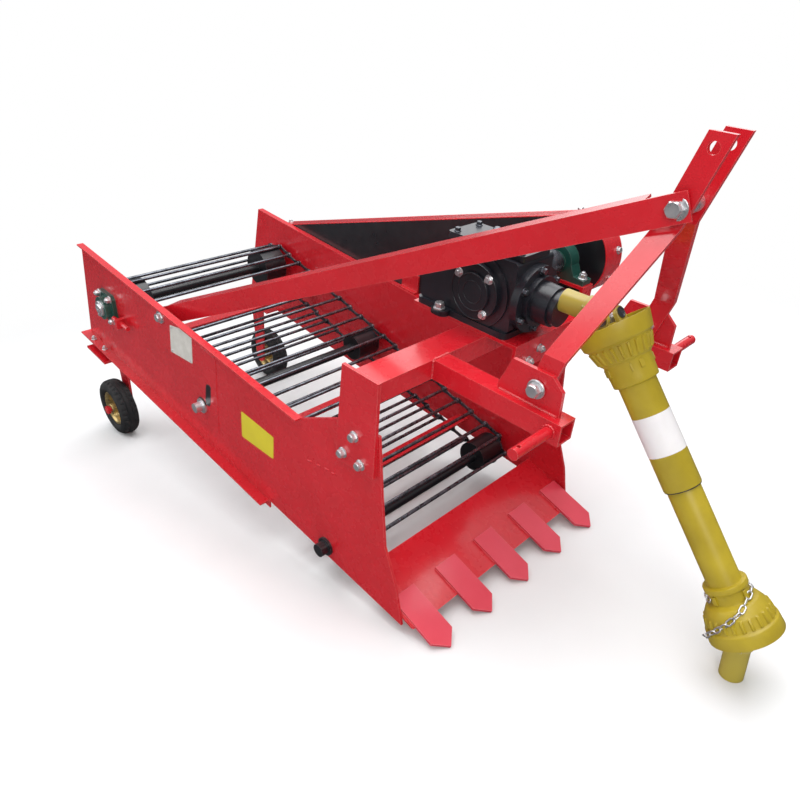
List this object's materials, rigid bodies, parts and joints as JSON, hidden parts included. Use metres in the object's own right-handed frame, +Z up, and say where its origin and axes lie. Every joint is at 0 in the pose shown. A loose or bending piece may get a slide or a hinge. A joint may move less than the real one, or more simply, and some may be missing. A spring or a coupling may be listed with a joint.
{
  "type": "mini root crop harvester",
  "caption": "Small rear-mounted root crop digger: shovel with pointed tines, rod conveyor between side plates, hitch mast, gearbox, shaft drive and rear wheels.",
  "frame": {"origin": "on the floor under the middle of the whole machine's outline, driveline included, as it stands parked on shovel tips and wheels", "axes": "+X forward to the hitch and shovel, +Y to the machine's left where the chain case is, +Z up"},
  "size_m": [2.194, 0.79, 1.0283],
  "materials": {
    "red_paint": "satin",
    "black_paint": "satin",
    "green_paint": "satin",
    "black_casting": "satin",
    "dark_steel": "satin",
    "bare_steel": "satin",
    "yellow_paint": "satin",
    "gold_rim": "satin",
    "yellow_plastic": "matte",
    "tyre": "matte"
  },
  "bodies": {
    "frame": {"bearing_stand": "red_paint", "bottom_rail_left": "red_paint", "bottom_rail_right": "red_paint", "brace_bolt": "bare_steel", "case_back": "black_paint", "case_cover": "red_paint", "case_stays": "red_paint", "cross_bars": "red_paint", "cross_beam": "red_paint", "foot_bolt_left": "bare_steel", "foot_bolt_right": "bare_steel", "front_idler": "black_paint", "gearbox_cap": "black_casting", "gearbox_housing": "black_casting", "gearbox_input": "black_casting", "gearbox_platform": "red_paint", "hitch_tube_left": "red_paint", "hitch_tube_right": "red_paint", "idler_hubs": "black_paint", "input_yoke": "yellow_paint", "lower_pin_left": "red_paint", "lower_pin_right": "red_paint", "mast_bolt": "bare_steel", "mast_foot_left": "red_paint", "mast_foot_right": "red_paint", "mast_strap_left": "red_paint", "mast_strap_right": "red_paint", "middle_roller": "black_paint", "output_shaft": "dark_steel", "pillow_block": "green_paint", "rear_bearing_left": "green_paint", "rear_bearing_right": "green_paint", "rear_drive_shaft": "black_paint", "rod_chain": "dark_steel", "roller_bolts": "bare_steel", "shovel_plate": "red_paint", "shovel_tines": "red_paint", "side_plate_left": "red_paint", "side_plate_right": "red_paint", "tension_screw_left": "red_paint", "tension_screw_right": "red_paint", "top_brace": "red_paint", "upright_bracket_left": "red_paint", "upright_bracket_right": "red_paint", "wheel_bracket_left": "red_paint", "wheel_bracket_right": "red_paint"},
    "wheel_right": {"wheel_tyre_right": "tyre", "wheel_rim_right": "gold_rim"},
    "wheel_left": {"wheel_tyre_left": "tyre", "wheel_rim_left": "gold_rim"},
    "driveline_cross": {"driveline_cross": "bare_steel"},
    "driveline_outer": {"upper_yoke": "yellow_paint", "outer_guard": "yellow_plastic"},
    "driveline_inner": {"inner_guard": "yellow_plastic", "lower_yoke": "yellow_paint"},
    "lower_cross": {"lower_cross": "bare_steel"},
    "tractor_yoke": {"tractor_yoke": "yellow_paint"}
  },
  "joints": [
    {"name": "wheel_right_spin", "type": "hinge", "parent": "frame", "child": "wheel_right", "pos_m": [-0.99499, -0.347, 0.102], "axis": [0, 1, 0], "continuous": true},
    {"name": "wheel_left_spin", "type": "hinge", "parent": "frame", "child": "wheel_left", "pos_m": [-0.99499, 0.303, 0.102], "axis": [0, 1, 0], "continuous": true},
    {"name": "driveline_lift", "type": "hinge", "parent": "frame", "child": "driveline_cross", "pos_m": [0.67709, 0.031, 0.69115], "axis": [0, -1, 0], "range_deg": [0, 55]},
    {"name": "driveline_swing", "type": "hinge", "parent": "driveline_cross", "child": "driveline_outer", "pos_m": [0.67709, 0.031, 0.69115], "axis": [0.8457, 0, 0.5336], "range_deg": [-20, 20]},
    {"name": "driveline_slide", "type": "slide", "parent": "driveline_outer", "child": "driveline_inner", "axis": [0.5336, 0, -0.8457], "range_m": [-0.12, 0.06]},
    {"name": "lower_swing", "type": "hinge", "parent": "driveline_inner", "child": "lower_cross", "pos_m": [1.02863, 0.031, 0.134], "axis": [0.8457, 0, 0.5336], "range_deg": [-20, 20]},
    {"name": "tractor_yoke_tilt", "type": "hinge", "parent": "lower_cross", "child": "tractor_yoke", "pos_m": [1.02863, 0.031, 0.134], "axis": [0, -1, 0], "range_deg": [-20, 80]}
  ]
}
